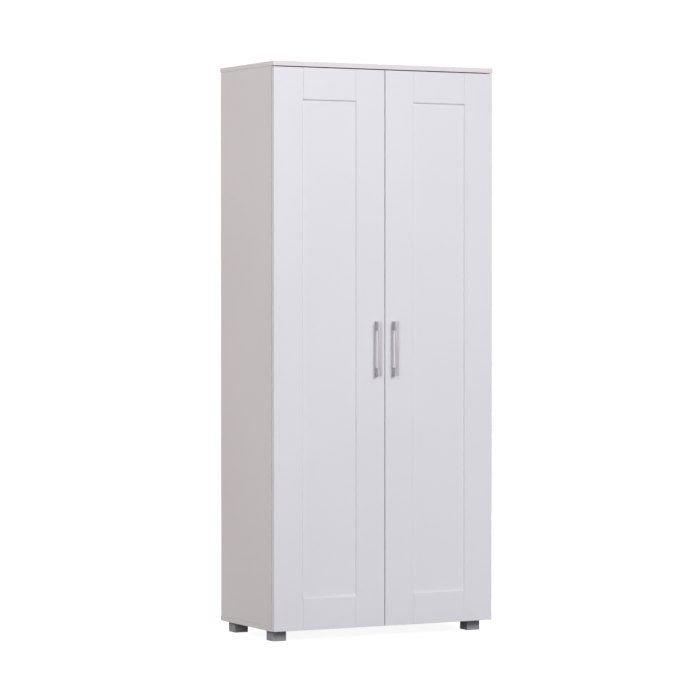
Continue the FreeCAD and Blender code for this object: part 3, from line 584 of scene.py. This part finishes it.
# The edge bands of the top and bottom panels leave a fine dark joint on the side panels.
JOINT_DEPTH = 2.0 * MM
for node, joint_height, face in (("top_panel", 0.5 * MM, "lower"), ("bottom_panel", 0.3 * MM, "upper")):
    low, high = (Vector(corner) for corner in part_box(node))
    height = low.z if face == "lower" else high.z
    for outer in (low.x, high.x):
        cutter = block("joint_cutter", (outer - JOINT_DEPTH, low.y - JOINT_DEPTH, height - joint_height),
                       (outer + JOINT_DEPTH, high.y + JOINT_DEPTH, height + joint_height))
        cut(pieces[node], cutter)

for node, piece in pieces.items():
    stand_in(piece, node)


# ---------------------------------------------------------------- studio
def studio_floor(name, tone, glow):
    """Pale paper. Seen from the camera it is lit to white; the light that it throws back is softer."""
    nodes = Nodes(name)
    cloth = nodes.noise(3.0, 2.0)
    nodes.link(nodes.ramp(cloth, "Fac", [(0.0, grey(tone - 0.01)), (1.0, grey(tone))]), "Color",
               nodes.shader, "Base Color")
    nodes.shader.inputs["Roughness"].default_value = 0.9
    nodes.shader.inputs["Specular IOR Level"].default_value = 0.1
    nodes.shader.inputs["Emission Color"].default_value = (1, 1, 1, 1)
    path = nodes.node("ShaderNodeLightPath")
    nodes.link(nodes.levels(path, "Is Camera Ray", 0, glow), "Result", nodes.shader, "Emission Strength")
    return nodes.material


FLOOR_HALF = 40.0
FLOOR_THICKNESS = 0.02
floor = block("studio_floor", (-FLOOR_HALF, -FLOOR_HALF, -FLOOR_THICKNESS), (FLOOR_HALF, FLOOR_HALF, 0))
paint(floor, studio_floor("studio_white", tone=0.25, glow=0.92))

CENTRE = Vector((0, 0, 1.0))
COOL_LAMP = (0.965, 0.955, 1.0)
WARM_LAMP = (1.0, 0.93, 0.925)


def area_light(name, place, size, power, color=(1, 1, 1)):
    """A rectangular lamp that points at the middle of the cabinet."""
    data = bpy.data.lights.new(name, "AREA")
    data.shape = "RECTANGLE"
    data.size, data.size_y = size
    data.energy = power
    data.color = color
    lamp = bpy.data.objects.new(name, data)
    lamp.location = place
    lamp.rotation_euler = (CENTRE - Vector(place)).to_track_quat("-Z", "Y").to_euler()
    bpy.context.scene.collection.objects.link(lamp)


area_light("key", place=(1.4, -6.0, 3.0), size=(1.8, 1.4), power=176, color=COOL_LAMP)
area_light("front", place=(-3.9, -6.6, 2.4), size=(2.4, 3.0), power=148, color=COOL_LAMP)
area_light("left", place=(-5.2, 0.3, 2.7), size=(2.6, 2.0), power=90, color=WARM_LAMP)
area_light("right", place=(5.2, 1.0, 2.7), size=(2.6, 2.0), power=85)
area_light("back", place=(1.0, 5.5, 3.0), size=(4.0, 3.0), power=210)

SURROUND_LIGHT = 0.34
SURROUND_SEEN = 1.05
world = bpy.data.worlds.new("studio_world")
world.use_nodes = True
world_nodes = world.node_tree.nodes
surround = world_nodes["Background"]
surround.inputs["Color"].default_value = (1, 1, 1, 1)
rays = world_nodes.new("ShaderNodeLightPath")
strength = world_nodes.new("ShaderNodeMapRange")
strength.inputs["To Min"].default_value = SURROUND_LIGHT
strength.inputs["To Max"].default_value = SURROUND_SEEN
world.node_tree.links.new(rays.outputs["Is Camera Ray"], strength.inputs["Value"])
world.node_tree.links.new(strength.outputs["Result"], surround.inputs["Strength"])
bpy.context.scene.world = world

# ---------------------------------------------------------------- camera
CAMERA_PLACE = Vector((-4.699, -9.029, 1.137))
CAMERA_YAW = math.radians(27.34)
CAMERA_DROP = math.radians(1.189)
CAMERA_FOCAL = 159.36
SENSOR_WIDTH = 36.0

camera_data = bpy.data.cameras.new("camera")
camera_data.lens = CAMERA_FOCAL
camera_data.sensor_width = SENSOR_WIDTH
camera = bpy.data.objects.new("camera", camera_data)
camera.location = CAMERA_PLACE
camera.rotation_euler = (math.pi / 2 - CAMERA_DROP, 0, -CAMERA_YAW)
bpy.context.scene.collection.objects.link(camera)
bpy.context.scene.camera = camera
bpy.context.scene.view_settings.view_transform = "Standard"
